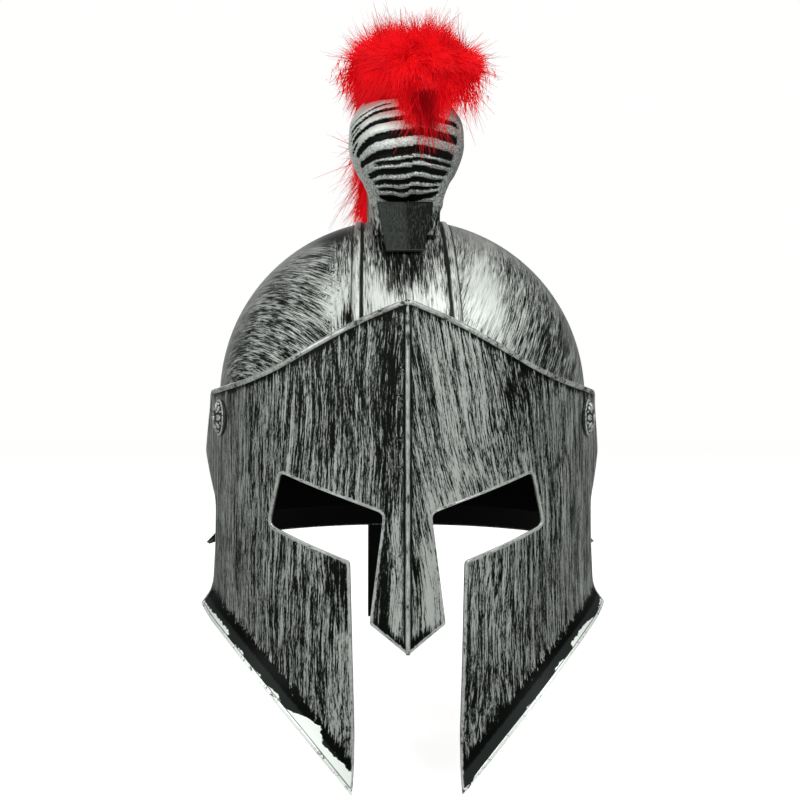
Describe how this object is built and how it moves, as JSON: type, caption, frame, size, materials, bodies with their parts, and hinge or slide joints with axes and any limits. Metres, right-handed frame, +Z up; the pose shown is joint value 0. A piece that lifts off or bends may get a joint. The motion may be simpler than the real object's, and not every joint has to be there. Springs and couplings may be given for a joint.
{
  "type": "gladiator helmet",
  "caption": "Costume gladiator helmet: a moulded skull dome with neck guard, a hinged full-face visor and an arched feather crest, in black plastic dry-brushed with silver.",
  "frame": {"origin": "the inner face of the crown at its highest point, where the wearer's head bears", "axes": "+Z up along the wearer's head, the wearer faces -Y, +X is the wearer's left side as worn"},
  "size_m": [0.23, 0.3034, 0.3752],
  "materials": {
    "skull_dome": "black plastic, dry-brushed with silver in long strokes",
    "visor": "black plastic, dry-brushed with silver in upright strokes, bare silver edges",
    "rosette": "black plastic, raised relief rubbed with silver",
    "crest_holder": "black plastic, raised ribs rubbed with silver",
    "crest_clip": "smooth smoke-grey plastic",
    "plume": "bright red dyed down feathers"
  },
  "bodies": {
    "dome": {"skull_dome": "skull_dome", "crest_holder": "crest_holder", "crest_clip": "crest_clip", "plume": "plume"},
    "face_visor": {"visor": "visor", "rosette_left": "rosette", "rosette_right": "rosette"}
  },
  "joints": [
    {"name": "visor_hinge", "type": "hinge", "parent": "dome", "child": "face_visor", "pos_m": [0, -0.058, -0.1082], "axis": [-1, 0, 0], "range_deg": [0, 20]}
  ]
}
